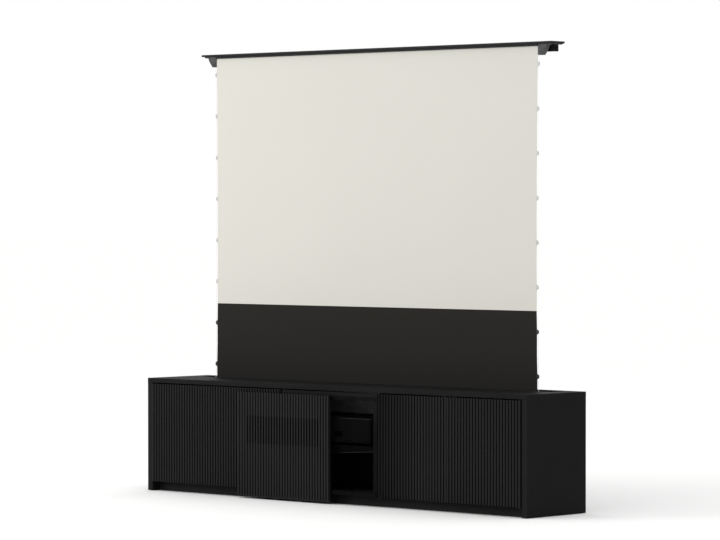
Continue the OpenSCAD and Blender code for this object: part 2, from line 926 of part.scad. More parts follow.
module projection_lens() {
    color(dark) {
        cyl_y(window_y0 + 12, window_y0 + 22, bay_x, lens_z, 26);
        cyl_y(window_y0 + 22, window_y0 + 50, bay_x, lens_z, 32);
        cyl_y(window_y0 + 50, engine_y0, bay_x, lens_z, 28);
    }
}

module light_engine() {
    color(grey)
    along_z(proj_z0 + 10, proj_z1 - 14) rounded([bay_x - 90, engine_y0], [bay_x + 90, proj_y1 - 12], 8);
}

module heat_sink() {
    fins = 11;
    step = 8;
    x0 = bay_x + 105;
    y0 = 30;
    color(steel) {
        block([x0, y0, proj_z0 + 10], [x0 + fins * step - 6, y0 + 90, proj_z0 + 18]);
        for (i = [0:fins - 1]) {
            block([x0 + i * step, y0, proj_z0 + 18], [x0 + i * step + 2, y0 + 90, proj_z1 - 20]);
        }
    }
}

// Board with its three largest chips
module main_board() {
    z = proj_z0 + 9;
    color([0.1, 0.3, 0.2]) {
        block([bay_x - 190, proj_y0 + 14, z], [bay_x + 190, proj_y0 + 84, z + 1.6]);
        for (p = [[-120, 30], [20, 40], [110, 24]]) {
            block([bay_x + p.x, proj_y0 + 30, z + 1.5], [bay_x + p.x + p.y, proj_y0 + 30 + p.y, z + 5]);
        }
    }
}

module fan_frames() {
    color(black)
    for (x = fan_xs) {
        difference() {
            block([x, fan_y - fan_size / 2, fan_z - fan_size / 2 + 1],
                  [x + fan_t, fan_y + fan_size / 2, fan_z + fan_size / 2 - 1]);
            cyl_x(x + 3, x + fan_t + 1, fan_y, fan_z, fan_r + 1);
            for (a = [0:90:270]) {
                translate([0, fan_y, fan_z]) rotate([a, 0, 0]) block([x - 1, 9, 9], [x + 4, 25, 25]);
            }
        }
        cyl_x(x + 2, x + 12, fan_y, fan_z, 3);
    }
}

// Hub and raked blades, turning on the frame's stub
module fan_rotor(x) {
    color(dark)
    difference() {
        union() {
            cyl_x(x + 6, x + 22, fan_y, fan_z, 15);
            for (i = [0:blades - 1]) {
                translate([x + 14, fan_y, fan_z]) rotate([i * 360 / blades, 0, 0]) rotate([0, 0, 35])
                block([-7, -0.8, 12], [7, 0.8, fan_r - 3]);
            }
        }
        cyl_x(x + 5, x + 13, fan_y, fan_z, 3 + fit);
    }
}

module left_fan_rotor() fan_rotor(fan_xs[0]);
module right_fan_rotor() fan_rotor(fan_xs[1]);

module projector_feet() {
    pad_h = 6;
    color(black)
    for (x = [proj_x0 + 40, proj_x1 - 40], y = [proj_y0 + 35, proj_y1 - 35]) {
        cyl_z(platform_z, platform_z + pad_h, x, y, 14);
        cyl_z(platform_z + pad_h, proj_z0, x, y, 9);
    }
}

module power_button() {
    y1 = proj_y0 + case_t + 3;
    color(black) {
        cyl_y(proj_y0 - 1.8, y1, button_x, button_z, button_r);
        cyl_y(y1, y1 + 2, button_x, button_z, button_r + 2);
    }
}

// ---- vent panel --------------------------------------------------------------------------------

// Fluted panel with open slots in its middle grooves and two channels across its back for the slides
module vent_panel() {
    color(black)
    difference() {
        union() {
            translate([vent_x0, y_vent, 0]) along_z(vent_z0 + vent_plain, vent_z1) fluted(vent_slats, vent_t);
            block([vent_x0, y_vent + groove_d, vent_z0],
                  [vent_x1, y_vent + vent_t, vent_z0 + vent_plain + 1]);
        }
        for (i = [vent_plain_slats:vent_slats - 2 - vent_plain_slats]) {
            x = vent_x0 + (i + 1) * pitch - groove_w / 2;
            block([x - vent_slot_w / 2, y_vent - 1, vent_slot_z0],
                  [x + vent_slot_w / 2, y_vent + vent_t + 1, vent_slot_z1]);
        }
        for (z = [rail_low_z, rail_high_z]) {
            block([vent_x0 - 1, y_crest - rail_d, z - 1],
                  [vent_x1 + 1, y_crest - vent_gap + 1, z + rail_h + 1]);
        }
    }
}

// The two slides of the vent panel; shift is how far a member stands from its closed place
module at_vent_slides(shift) {
    x0 = bay_x - rail_len / 2 - shift;
    for (z = [rail_low_z, rail_high_z]) {
        translate([0, y_crest, z]) mirror([0, 1, 0]) along_x(x0, x0 + rail_len) children();
    }
}

module vent_fixed_rails() {
    color(dark) at_vent_slides(0) slide_outer(rail_d, rail_h, rail_wall);
}

module vent_middle_rails() {
    color(dark) at_vent_slides(vent_open / 2) slide_middle(rail_d, rail_h, rail_wall);
}

module vent_panel_rails() {
    color(dark) at_vent_slides(vent_open) slide_inner(rail_d, rail_h, rail_wall);
}

// ---- nodes -------------------------------------------------------------------------------------

side_panels();
top_panel();
bottom_panel();
plinth();
glides();
back_panel();
partitions();
shelves();
left_front();
pivot_plates();
door_catches();
mains_inlet();
control_box();
runner_outers();
screen_housing();
housing_ends();
tube_motor();
arm_bases();
lift_springs();
screen_cloth();
screen_drop();
tension_cords();
cloth_tabs();
rocker_switch();
runner_middles();
roller();
right_lower_arm();
right_upper_arm();
left_lower_arm();
left_upper_arm();
lid_plate();
rear_beam();
hem_bar();
end_brackets();
top_pivots();
face_frame();
drawer_tray();
runner_inners();
vent_fixed_rails();
projector_base();
projector_cover();
side_grilles();
lens_window();
folding_mirror();
projection_lens();
light_engine();
heat_sink();
main_board();
fan_frames();
projector_feet();
left_fan_rotor();
right_fan_rotor();
power_button();
vent_panel();
vent_panel_rails();
vent_middle_rails();
inner_door();
inner_door_pins();
outer_door();
outer_door_pins();
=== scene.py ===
"""Looks of the projector cabinet with a rising screen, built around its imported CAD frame."""

import json
import math

import bmesh
import bpy
from mathutils import Matrix, Vector

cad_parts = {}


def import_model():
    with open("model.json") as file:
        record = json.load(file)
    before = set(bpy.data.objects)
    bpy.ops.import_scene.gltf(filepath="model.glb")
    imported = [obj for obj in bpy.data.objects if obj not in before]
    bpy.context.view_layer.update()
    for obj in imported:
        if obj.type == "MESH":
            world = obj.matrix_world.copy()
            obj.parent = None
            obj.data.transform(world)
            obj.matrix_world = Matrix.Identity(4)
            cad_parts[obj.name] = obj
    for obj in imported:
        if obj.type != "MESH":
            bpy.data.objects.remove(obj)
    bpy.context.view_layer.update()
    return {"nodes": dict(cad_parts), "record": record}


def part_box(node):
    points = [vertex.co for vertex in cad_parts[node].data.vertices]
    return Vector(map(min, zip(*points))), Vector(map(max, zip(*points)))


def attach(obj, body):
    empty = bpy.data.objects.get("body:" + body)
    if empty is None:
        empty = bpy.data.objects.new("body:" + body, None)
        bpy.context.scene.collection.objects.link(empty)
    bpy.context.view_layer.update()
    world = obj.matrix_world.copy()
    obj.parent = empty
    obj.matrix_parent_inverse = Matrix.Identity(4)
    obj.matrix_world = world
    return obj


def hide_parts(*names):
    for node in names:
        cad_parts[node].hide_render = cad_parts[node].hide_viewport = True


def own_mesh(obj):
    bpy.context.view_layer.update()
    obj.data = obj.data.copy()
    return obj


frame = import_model()
NODES = frame["nodes"]

# ---- node materials ----------------------------------------------------------------------------


def new_material(name, color, roughness, metallic=0.0, specular=0.5):
    """A material with its uniform values set on the shader's own sockets."""
    mat = bpy.data.materials.new(name)
    mat.use_nodes = True
    shader = mat.node_tree.nodes["Principled BSDF"]
    shader.inputs["Base Color"].default_value = (*color, 1)
    shader.inputs["Roughness"].default_value = roughness
    shader.inputs["Metallic"].default_value = metallic
    shader.inputs["Specular IOR Level"].default_value = specular
    return mat


def shader_of(mat):
    return mat.node_tree.nodes["Principled BSDF"]


def object_coords(mat, scale=(1, 1, 1), turn=(0, 0, 0)):
    """Coordinates in metres on the piece itself, so a pattern moves with it."""
    tree = mat.node_tree
    where = tree.nodes.new("ShaderNodeTexCoord")
    mapping = tree.nodes.new("ShaderNodeMapping")
    mapping.inputs["Scale"].default_value = scale
    mapping.inputs["Rotation"].default_value = turn
    tree.links.new(where.outputs["Object"], mapping.inputs["Vector"])
    return mapping.outputs["Vector"]


def noise(mat, coords, scale, detail=3.0, roughness=0.5):
    node = mat.node_tree.nodes.new("ShaderNodeTexNoise")
    node.inputs["Scale"].default_value = scale
    node.inputs["Detail"].default_value = detail
    node.inputs["Roughness"].default_value = roughness
    mat.node_tree.links.new(coords, node.inputs["Vector"])
    return node.outputs["Fac"]


def wave(mat, coords, scale, direction="X", distortion=0.0):
    node = mat.node_tree.nodes.new("ShaderNodeTexWave")
    node.wave_type = "BANDS"
    node.bands_direction = direction
    node.inputs["Scale"].default_value = scale
    node.inputs["Distortion"].default_value = distortion
    mat.node_tree.links.new(coords, node.inputs["Vector"])
    return node.outputs["Fac"]


def math_node(mat, operation, a, b):
    node = mat.node_tree.nodes.new("ShaderNodeMath")
    node.operation = operation
    for socket, value in zip(node.inputs, (a, b)):
        if isinstance(value, (int, float)):
            socket.default_value = value
        else:
            mat.node_tree.links.new(value, socket)
    return node.outputs["Value"]


def spread(mat, fac, low, high):
    """fac from 0.3 to 0.7, where noise mostly lies, spread over low to high."""
    node = mat.node_tree.nodes.new("ShaderNodeMapRange")
    node.inputs["From Min"].default_value = 0.3
    node.inputs["From Max"].default_value = 0.7
    node.inputs["To Min"].default_value = low
    node.inputs["To Max"].default_value = high
    mat.node_tree.links.new(fac, node.inputs["Value"])
    return node.outputs["Result"]


def two_tone(mat, fac, dark, light):
    """Base colour from dark to light over the part of fac where noise mostly lies."""
    ramp = mat.node_tree.nodes.new("ShaderNodeValToRGB")
    ramp.color_ramp.elements[0].position = 0.3
    ramp.color_ramp.elements[1].position = 0.7
    ramp.color_ramp.elements[0].color = (*dark, 1)
    ramp.color_ramp.elements[1].color = (*light, 1)
    mat.node_tree.links.new(fac, ramp.inputs["Fac"])
    mat.node_tree.links.new(ramp.outputs["Color"], shader_of(mat).inputs["Base Color"])


def vary_roughness(mat, fac, low, high):
    mat.node_tree.links.new(spread(mat, fac, low, high), shader_of(mat).inputs["Roughness"])


def bump(mat, height, distance, strength=1.0):
    node = mat.node_tree.nodes.new("ShaderNodeBump")
    node.inputs["Distance"].default_value = distance
    node.inputs["Strength"].default_value = strength
    mat.node_tree.links.new(height, node.inputs["Height"])
    mat.node_tree.links.new(node.outputs["Normal"], shader_of(mat).inputs["Normal"])


def scaled(color, factor):
    return tuple(c * factor for c in color)


def paint_shade_along(mat, axis, start, end, low, high):
    """Painted light and shade: scales colour and shine from low to high between two fractions of the piece's
    own length.
    """
    tree = mat.node_tree
    shader = shader_of(mat)
    where = tree.nodes.new("ShaderNodeTexCoord")
    split = tree.nodes.new("ShaderNodeSeparateXYZ")
    ramp = tree.nodes.new("ShaderNodeMapRange")
    ramp.inputs["From Min"].default_value = start
    ramp.inputs["From Max"].default_value = end
    ramp.inputs["To Min"].default_value = low
    ramp.inputs["To Max"].default_value = high
    tree.links.new(where.outputs["Generated"], split.inputs["Vector"])
    tree.links.new(split.outputs[axis], ramp.inputs["Value"])
    tint = tree.nodes.new("ShaderNodeVectorMath")
    tint.operation = "SCALE"
    tree.links.new(shader.inputs["Base Color"].links[0].from_socket, tint.inputs[0])
    tree.links.new(ramp.outputs["Result"], tint.inputs["Scale"])
    tree.links.new(tint.outputs["Vector"], shader.inputs["Base Color"])
    specular = shader.inputs["Specular IOR Level"].default_value
    shine = math_node(mat, "MULTIPLY", ramp.outputs["Result"], specular)
    tree.links.new(shine, shader.inputs["Specular IOR Level"])


def lacquer(name, color, roughness, specular):
    """Satin lacquer: faint orange peel, and cloudy sheen where hands and cloths have been."""
    mat = new_material(name, color, roughness, specular=specular)
    coords = object_coords(mat)
    clouds = noise(mat, coords, 2.2, 4)
    peel = noise(mat, coords, 420, 2)
    two_tone(mat, clouds, scaled(color, 0.86), scaled(color, 1.14))
    vary_roughness(mat, noise(mat, coords, 6, 5, 0.6), roughness - 0.05, roughness + 0.06)
    bump(mat, peel, 0.00004)
    return mat


def screen_cloth(name, color, sheen, roughness=0.95):
    """Fine coated weave: crossed threads in the bump, with slow cloudy variation in colour."""
    mat = new_material(name, color, roughness, specular=0.05)
    shader_of(mat).inputs["Sheen Weight"].default_value = sheen
    coords = object_coords(mat)
    threads = math_node(mat, "ADD", wave(mat, coords, 420, "X"), wave(mat, coords, 420, "Z"))
    two_tone(mat, noise(mat, coords, 1.3, 3), scaled(color, 0.985), scaled(color, 1.0))
    vary_roughness(mat, noise(mat, coords, 60, 2), roughness - 0.04, min(1.0, roughness + 0.04))
    bump(mat, threads, 0.00005, 0.4)
    return mat


def powder_coat(name, color, roughness=0.6, specular=0.15):
    """Powder coat: a fine pebbled skin."""
    mat = new_material(name, color, roughness, specular=specular)
    coords = object_coords(mat)
    pebble = noise(mat, coords, 900, 2)
    two_tone(mat, noise(mat, coords, 40, 4), scaled(color, 0.85), scaled(color, 1.2))
    vary_roughness(mat, pebble, roughness - 0.08, roughness + 0.08)
    bump(mat, pebble, 0.0001)
    return mat


def drawn_metal(name, color, roughness, along="X"):
    """Drawn or brushed metal: streaks along one axis."""
    mat = new_material(name, color, roughness, metallic=1.0)
    scale = {"X": (2, 300, 300), "Y": (300, 2, 300), "Z": (300, 300, 2)}[along]
    streaks = noise(mat, object_coords(mat, scale), 3, 3)
    patches = noise(mat, object_coords(mat), 9, 4)
    two_tone(mat, patches, scaled(color, 0.86), scaled(color, 1.05))
    vary_roughness(mat, streaks, roughness - 0.07, roughness + 0.09)
    bump(mat, streaks, 0.00003)
    return mat


def moulded_plastic(name, color, roughness=0.55, specular=0.4):
    """Moulded plastic: spark-eroded grain."""
    mat = new_material(name, color, roughness, specular=specular)
    coords = object_coords(mat)
    grain = noise(mat, coords, 1500, 2)
    two_tone(mat, noise(mat, coords, 25, 3), scaled(color, 0.9), scaled(color, 1.1))
    vary_roughness(mat, noise(mat, coords, 80, 3), roughness - 0.06, roughness + 0.06)
    bump(mat, grain, 0.00006)
    return mat


def circuit_board(name):
    """Green solder mask with paler traces."""
    mat = new_material(name, (0.01, 0.09, 0.04), 0.35)
    coords = object_coords(mat)
    brick = mat.node_tree.nodes.new("ShaderNodeTexBrick")
    brick.inputs["Scale"].default_value = 90
    brick.inputs["Mortar Size"].default_value = 0.03
    brick.inputs["Color1"].default_value = (0.008, 0.08, 0.035, 1)
    brick.inputs["Color2"].default_value = (0.012, 0.10, 0.05, 1)
    brick.inputs["Mortar"].default_value = (0.05, 0.22, 0.10, 1)
    mat.node_tree.links.new(coords, brick.inputs["Vector"])
    mat.node_tree.links.new(brick.outputs["Color"], shader_of(mat).inputs["Base Color"])
    vary_roughness(mat, noise(mat, coords, 200, 2), 0.28, 0.42)
    bump(mat, brick.outputs["Fac"], 0.00005)
    return mat


def coated_glass(name):
    """Dark anti-reflection glass over the light's window."""
    mat = new_material(name, (0.03, 0.035, 0.05), 0.06)
    shader_of(mat).inputs["Coat Weight"].default_value = 0.6
    coords = object_coords(mat)
    dust = noise(mat, coords, 300, 4, 0.7)
    two_tone(mat, noise(mat, coords, 18, 2), (0.02, 0.022, 0.04), (0.035, 0.04, 0.055))
    vary_roughness(mat, dust, 0.04, 0.12)
    bump(mat, dust, 0.00001)
    return mat


def front_mirror(name):
    """Front-silvered mirror with a slight haze."""
    mat = new_material(name, (0.9, 0.9, 0.92), 0.03, metallic=1.0)
    coords = object_coords(mat)
    haze = noise(mat, coords, 70, 4)
    two_tone(mat, haze, (0.85, 0.86, 0.88), (0.93, 0.93, 0.95))
    vary_roughness(mat, haze, 0.02, 0.07)
    bump(mat, haze, 0.000004)
    return mat


def braid(name, color):
    """Braided cord: two crossed diagonal waves."""
    mat = new_material(name, color, 0.8, specular=0.2)
    left = wave(mat, object_coords(mat, turn=(0, math.radians(35), 0)), 260, "Z")
    right = wave(mat, object_coords(mat, turn=(0, math.radians(-35), 0)), 260, "Z")
    plait = math_node(mat, "MAXIMUM", left, right)
    two_tone(mat, plait, scaled(color, 0.85), color)
    vary_roughness(mat, plait, 0.7, 0.9)
    bump(mat, plait, 0.0002)
    return mat


def wire_gauze(name):
    """Blackened wire gauze: crossed wires in the bump and in the colour."""
    mat = new_material(name, (0.002, 0.002, 0.002), 0.7, specular=0.1)
    coords = object_coords(mat)
    wires = math_node(mat, "MAXIMUM", wave(mat, coords, 300, "X"), wave(mat, coords, 300, "Z"))
    two_tone(mat, wires, (0.0010, 0.0010, 0.0010), (0.0038, 0.0038, 0.0038))
    vary_roughness(mat, wires, 0.6, 0.8)
    bump(mat, wires, 0.0003)
    return mat


BLACK = (0.0088, 0.0088, 0.0090)
LOOKS = {
    "black_lacquer": lacquer("black_lacquer", BLACK, 0.40, 0.12),
    "back_board": powder_coat("back_board", (0.011, 0.011, 0.0113), 0.62),
    "black_steel": powder_coat("black_steel", (0.010, 0.010, 0.0103), 0.5),
    # Partly painted light: the housing's grey is its paint, made pale enough that the deep housing wall
    # shows lit.
    "grey_steel": powder_coat("grey_steel", (0.13, 0.13, 0.133), 0.5),
    "zinc_steel": drawn_metal("zinc_steel", (0.50, 0.51, 0.53), 0.34),
    "grey_aluminium": drawn_metal("grey_aluminium", (0.30, 0.30, 0.32), 0.42, "Z"),
    "black_aluminium": powder_coat("black_aluminium", (0.008, 0.008, 0.0082), 0.45),
    "bracket_grey": moulded_plastic("bracket_grey", (0.037, 0.037, 0.0385), 0.5),
    "white_cloth": screen_cloth("white_cloth", (0.60, 0.589, 0.543), 0.0),
    "black_cloth": screen_cloth("black_cloth", (0.021, 0.0202, 0.0184), 0.0),
    "cord": braid("cord", (0.88, 0.88, 0.87)),
    "tab": moulded_plastic("tab", (0.50, 0.50, 0.485), 0.5),
    "black_plastic": moulded_plastic("black_plastic", (0.016, 0.016, 0.017)),
    "grey_plastic": moulded_plastic("grey_plastic", (0.045, 0.045, 0.048), 0.42),
    "window_glass": coated_glass("window_glass"),
    "mirror": front_mirror("mirror"),
    "lens_barrel": drawn_metal("lens_barrel", (0.03, 0.03, 0.032), 0.4, "Y"),
    "cast_aluminium": drawn_metal("cast_aluminium", (0.45, 0.45, 0.47), 0.45, "Z"),
    "circuit_board": circuit_board("circuit_board"),
    "rubber": moulded_plastic("rubber", (0.014, 0.014, 0.014), 0.85),
}

# Shades of black for single nodes, as the photo shows them. The blacks for the rear beam, the rails, the
# tray and the projector's case, and the lacquers for the plinth, face frame, side panels' edges, doors and
# left front, are darker copies of the same blacks, set to how light falls on each: painted shade.
BEAM_BLACK = powder_coat("beam_black", (0.0032, 0.0032, 0.0033), 0.6, 0.06)
RAIL_BLACK = powder_coat("rail_black", (0.0045, 0.0045, 0.0046), 0.55, 0.05)
CASE_BLACK = moulded_plastic("case_black", (0.0027, 0.0027, 0.0028), 0.5, 0.035)
# Painted highlight: the grey of the bead along the projector's top edge.
HIGHLIGHT_GREY = drawn_metal("painted_highlight_grey", (0.022, 0.022, 0.0223), 0.45)
INLAY_BLACK = moulded_plastic("inlay_black", (0.0008, 0.0008, 0.0008), 0.6, 0.02)
HEM_GREY = drawn_metal("hem_grey", (0.040, 0.040, 0.041), 0.5)
TOP_LACQUER = lacquer("top_lacquer", BLACK, 0.60, 0.055)
PLINTH_LACQUER = lacquer("plinth_lacquer", scaled(BLACK, 0.7), 0.5, 0.07)
FRAME_LACQUER = lacquer("frame_lacquer", scaled(BLACK, 0.68), 0.48, 0.06)
EDGE_LACQUER = lacquer("edge_lacquer", scaled(BLACK, 0.74), 0.46, 0.08)
DOOR_LACQUER = lacquer("door_lacquer", scaled(BLACK, 0.9), 0.42, 0.10)
INNER_LACQUER = lacquer("inner_lacquer", scaled(BLACK, 0.9), 0.42, 0.10)
LEFT_LACQUER = lacquer("left_lacquer", scaled(BLACK, 0.8), 0.40, 0.10)
TRAY_BLACK = powder_coat("tray_black", (0.0013, 0.0013, 0.0013), 0.6, 0.015)
GAUZE = wire_gauze("gauze")
# Darker copies of the black lacquer for the outer faces of the sides and the top panel's ends: painted shade
# on the faces turned from the light.
END_SHADE = lacquer("end_painted_shade", scaled(BLACK, 0.58), 0.46, 0.05)
SIDE_SHADE = lacquer("side_painted_shade", scaled(BLACK, 0.5), 0.46, 0.05)

# Painted light and shade round the open bay.
# Painted shade under the doors: the plinth darker towards its top, lighter towards the floor.
paint_shade_along(PLINTH_LACQUER, "Z", 0.0, 1.0, 1.8, 0.75)
# Painted shade: the face frame darker low down, round the bay.
paint_shade_along(FRAME_LACQUER, "Z", 0.65, 1.0, 0.5, 1.0)
# Painted shade on the inner door, darkest at its edge by the bay.
paint_shade_along(INNER_LACQUER, "X", 0.0, 0.60, 0.52, 1.0)
# Painted light and shade on the projector's front: lighter on the left, in the vent panel's cast shadow,
# darker on the right.
paint_shade_along(CASE_BLACK, "X", 0.46, 0.66, 2.6, 0.62)


def paint_cad_nodes():
    """Each CAD node gets its slot's look, and some get their own shade: most of these are darker copies of
    the blacks, painted shade.
    """
    for part in frame["record"]["subparts"]:
        node = NODES[part["node"]]
        node.data.materials.clear()
        node.data.materials.append(LOOKS[part["material_slot"]])
    shades = (
        (BEAM_BLACK, ("rear_beam",)),
        (TOP_LACQUER, ("top_panel",)),
        (DOOR_LACQUER, ("outer_door",)),
        (INNER_LACQUER, ("inner_door",)),
        (LEFT_LACQUER, ("left_front",)),
        (TRAY_BLACK, ("drawer_tray",)),
        (EDGE_LACQUER, ("side_panels",)),
        (FRAME_LACQUER, ("face_frame",)),
        (PLINTH_LACQUER, ("plinth",)),
        (INLAY_BLACK, ("power_button", "projector_feet")),
        (RAIL_BLACK, ("vent_fixed_rails", "vent_middle_rails", "vent_panel_rails")),
        (LOOKS["black_steel"], ("pivot_plates", "inner_door_pins", "outer_door_pins")),
    )
    for look, names in shades:
        for name in names:
            NODES[name].data.materials[0] = look


# ---- mesh helpers ------------------------------------------------------------------------------


SHARP = math.radians(35)        # edges sharper than this stay crisp


def finish_mesh(name, bm, body, slot, looks=None):
    """Makes the piece: normals, smooth faces split at sharp edges, materials (the slot's look unless looks
    are given) and body.
    """
    bmesh.ops.recalc_face_normals(bm, faces=bm.faces)
    mesh = bpy.data.meshes.new(name)
    bm.to_mesh(mesh)
    bm.free()
    mesh.polygons.foreach_set("use_smooth", [True] * len(mesh.polygons))
    mesh.set_sharp_from_angle(angle=SHARP)
    for look in looks or [LOOKS[slot]]:
        mesh.materials.append(look)
    obj = bpy.data.objects.new(name, mesh)
    bpy.context.scene.collection.objects.link(obj)
    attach(obj, body)
    return obj


def add_box(bm, lo, hi, round_off=0.0, segments=2):
    """A cuboid with rounded edges."""
    lo, hi = Vector(lo), Vector(hi)
    made = bmesh.ops.create_cube(bm, size=1, matrix=Matrix.Translation((lo + hi) / 2)
                                 @ Matrix.Diagonal((*(hi - lo), 1)))
    if round_off:
        edges = dict.fromkeys(e for v in made["verts"] for e in v.link_edges)
        bmesh.ops.bevel(bm, geom=list(edges), offset=round_off, segments=segments,
                        profile=0.5, affect="EDGES", clamp_overlap=True)


def bridge(bm, a, b):
    """Faces between two closed loops with as many points."""
    count = len(a)
    for i in range(count):
        j = (i + 1) % count
        bm.faces.new((a[i], a[j], b[j], b[i]))


AXES = {"X": Vector((1, 0, 0)), "Y": Vector((0, 1, 0)), "Z": Vector((0, 0, 1))}


def add_turned(bm, axis, centre, profile, sides=32):
    """A turned solid: profile is (distance along the axis, radius) from one end to the other."""
    along = AXES[axis]
    across = AXES["Z"] if axis != "Z" else AXES["X"]
    up = along.cross(across)
    rings = []
    for t, radius in profile:
        ring = []
        for i in range(sides):
            turn = 2 * math.pi * i / sides
            spoke = across * math.cos(turn) + up * math.sin(turn)
            ring.append(bm.verts.new(Vector(centre) + along * t + spoke * radius))
        rings.append(ring)
    for a, b in zip(rings, rings[1:]):
        bridge(bm, a, b)
    bm.faces.new(rings[0])
    bm.faces.new(rings[-1][::-1])


def add_outline(bm, outline, thickness, place):
    """A flat plate: outline is a list of (u, v), and place puts (u, v, depth) in the shared frame."""
    front = [bm.verts.new(place(u, v, 0)) for u, v in outline]
    back = [bm.verts.new(place(u, v, thickness)) for u, v in outline]
    bm.faces.new(front)
    bm.faces.new(back[::-1])
    bridge(bm, front, back)


def round_rect(u0, v0, u1, v1, radius, steps=5):
    """Outline of a rectangle with round corners."""
    points = []
    corners = ((u1 - radius, v0 + radius, -90), (u1 - radius, v1 - radius, 0),
               (u0 + radius, v1 - radius, 90), (u0 + radius, v0 + radius, 180))
    for u, v, start in corners:
        for i in range(steps + 1):
            turn = math.radians(start + 90 * i / steps)
            points.append((u + radius * math.cos(turn), v + radius * math.sin(turn)))
    return points


def add_screw(bm, axis, centre, radius, out):
    """A domed screw head with a round recess; out is +1 or -1, the way the head faces."""
    height = radius * 0.55
    dome = ((0, 1), (0.45, 0.97), (0.8, 0.75), (1, 0.42))
    recess = ((0.72, 0.34), (0.4, 0.08))
    profile = [(out * height * rise, radius * reach) for rise, reach in dome + recess]
    add_turned(bm, axis, centre, profile, 16)


# ---- the rising screen -------------------------------------------------------------------------

cloth_lo, cloth_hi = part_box("screen_cloth")
drop_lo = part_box("screen_drop")[0]
lid_lo, lid_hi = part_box("lid_plate")
cabinet_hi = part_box("top_panel")[1]
tabs_lo, tabs_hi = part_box("cloth_tabs")

CLOTH_Y = (cloth_lo.y + cloth_hi.y) / 2
CLOTH_T = 0.0005
HALF_W = cloth_hi.x
SEAM_Z = cloth_lo.z
FIXED_Z = drop_lo.z
TABS = 8
TAB_H = 0.027
TAB_T = 0.0016
TAB_ROOT = 0.004
CLIP_HALF = Vector((0.0030, 0.0028, 0.007))
TAB_TOP = tabs_hi.z - TAB_H / 2
TAB_STEP = (tabs_hi.z - tabs_lo.z - TAB_H) / (TABS - 1)
TAB_Z = [TAB_TOP - i * TAB_STEP for i in range(TABS)]
BOW = 0.008
SCALLOP = 0.0012
EYE = 0.0075        # from the cloth's edge out to the clip, through which the cord runs


def follow_lift(piece):
    """Gives the cloth, or what hangs on it, its own copy of its mesh."""
    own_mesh(piece)


def bow(z):
    """How far the stretched cloth's edge is drawn in at a height, most at mid height."""
    rise = (z - FIXED_Z) / (cloth_hi.z - FIXED_Z)
    return BOW * 4 * rise * (1 - rise)


def edge_x(z):
    """Half width of the cloth at a height: held out at the tabs, slack between them."""
    phase = (TAB_TOP - z) / TAB_STEP
    return HALF_W - bow(z) - SCALLOP * math.sin(math.pi * phase) ** 2


def cloth_y(x, z):
    """The stretched cloth is flat but for faint waves across its width."""
    lift = (z - FIXED_Z) / (cloth_hi.z - FIXED_Z)
    depth, waves, phase = 0.0009, 7.3, 1.1
    ripple = math.sin(waves * x + phase) * math.sin(math.pi * lift)
    return CLOTH_Y + depth * ripple


def make_cloth(name, z0, z1, slot, back_look):
    """A stretched sheet between two heights: a front grid, a back grid and the rim that joins them."""
    columns, rows = 96, 96
    bm = bmesh.new()
    sides = []
    for offset in (-CLOTH_T / 2, CLOTH_T / 2):
        grid = []
        for j in range(rows + 1):
            z = z0 + (z1 - z0) * j / rows
            half = edge_x(z)
            row = []
            for i in range(columns + 1):
                x = half * (2 * i / columns - 1)
                row.append(bm.verts.new((x, cloth_y(x, z) + offset, z)))
            grid.append(row)
        sides.append(grid)
    front, back = sides
    for j in range(rows):
        for i in range(columns):
            bm.faces.new((front[j][i], front[j][i + 1], front[j + 1][i + 1], front[j + 1][i]))
            face = bm.faces.new((back[j][i], back[j + 1][i], back[j + 1][i + 1], back[j][i + 1]))
            face.material_index = 1
    rim = ([(0, i) for i in range(columns)] + [(j, columns) for j in range(rows)]
           + [(rows, i) for i in range(columns, 0, -1)] + [(j, 0) for j in range(rows, 0, -1)])
    for k, (j, i) in enumerate(rim):
        m, n = rim[(k + 1) % len(rim)]
        bm.faces.new((front[j][i], back[j][i], back[m][n], front[m][n]))
    return finish_mesh(name, bm, "cabinet", slot, [LOOKS[slot], back_look])


def screen():
    """White cloth above, black drop below, each a stretched sheet with a black back."""
    white = make_cloth("white_screen", SEAM_Z, cloth_hi.z, "white_cloth", LOOKS["black_cloth"])
    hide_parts("screen_cloth")
    black = make_cloth("black_drop", FIXED_Z, SEAM_Z, "black_cloth", LOOKS["black_cloth"])
    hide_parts("screen_drop")
    follow_lift(white)
    follow_lift(black)


def tab_outline(z):
    """A welded ear: a wide root on the cloth, and a round nose past the clip."""
    half, shoulder, nose, nose_r, steps = TAB_H / 2, 0.001, 0.006, 0.0065, 8
    outline = [(-TAB_ROOT, -half), (shoulder, -half)]
    for i in range(steps + 1):
        turn = math.radians(-90 + 180 * i / steps)
        outline.append((nose + nose_r * math.cos(turn), half * 0.72 * math.sin(turn)))
    outline += [(shoulder, half), (-TAB_ROOT, half)]
    return [(u - bow(z), z + v) for u, v in outline]


def tabs():
    """Ears along both edges, with a clip on each: pale on the white cloth, black on the drop."""
    groups = (("white_tabs", [z for z in TAB_Z if z > SEAM_Z], "tab"),
              ("black_tabs", [z for z in TAB_Z if z < SEAM_Z], "black_plastic"))
    for name, heights, slot in groups:
        bm = bmesh.new()
        for z in heights:
            for side in (-1, 1):
                def place(u, v, depth, side=side):
                    return Vector((side * (HALF_W + u), CLOTH_Y - TAB_T / 2 + depth, v))
                add_outline(bm, tab_outline(z), TAB_T, place)
                clip = Vector((side * (HALF_W + EYE - bow(z)), CLOTH_Y, z))
                add_box(bm, clip - CLIP_HALF, clip + CLIP_HALF, 0.0008)
        piece = finish_mesh(name, bm, "cabinet", slot)
        if name == "white_tabs":
            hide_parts("cloth_tabs")
        follow_lift(piece)


